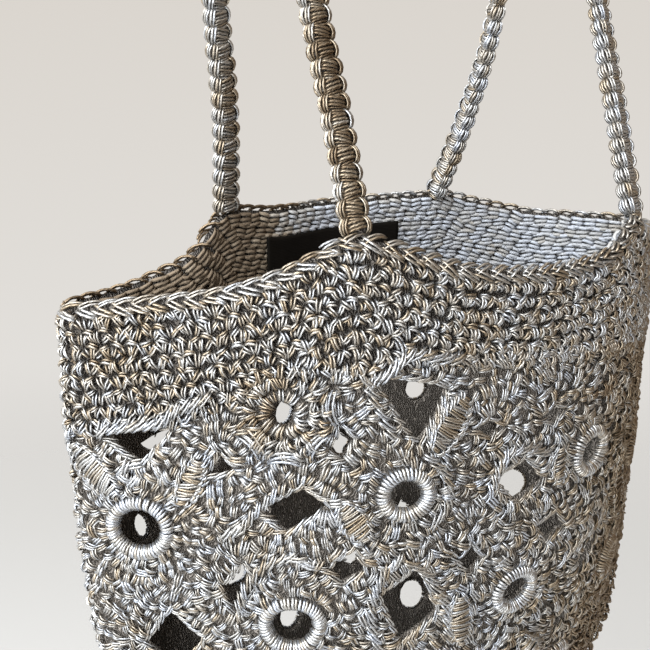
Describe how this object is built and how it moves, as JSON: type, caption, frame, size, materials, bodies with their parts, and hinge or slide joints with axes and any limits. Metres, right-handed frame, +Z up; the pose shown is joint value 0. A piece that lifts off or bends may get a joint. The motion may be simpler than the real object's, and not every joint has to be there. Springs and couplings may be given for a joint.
{
  "type": "crocheted openwork handbag",
  "caption": "Small metallic-yarn crochet bag with an openwork body of rings and leaves, a dense rim band and two knotted strap handles; it hangs from the handles.",
  "frame": {"origin": "the point where the two handles hang, under the tops of their arches", "axes": "+Z up, +X along the bag's width from its left fold to its right fold, +Y from the front panel to the back panel"},
  "size_m": [0.2047, 0.0945, 0.3781],
  "materials": {
    "band_yarn": "silver metallic yarn in dense single crochet",
    "net_yarn": "silver metallic yarn in freeform openwork crochet",
    "handle_yarn": "silver metallic yarn in a knotted flat cord",
    "label_cloth": "black satin label cloth, bare"
  },
  "bodies": {
    "root": {"band": "band_yarn", "net": "net_yarn", "handle_front": "handle_yarn", "handle_back": "handle_yarn", "label": "label_cloth"}
  },
  "joints": []
}
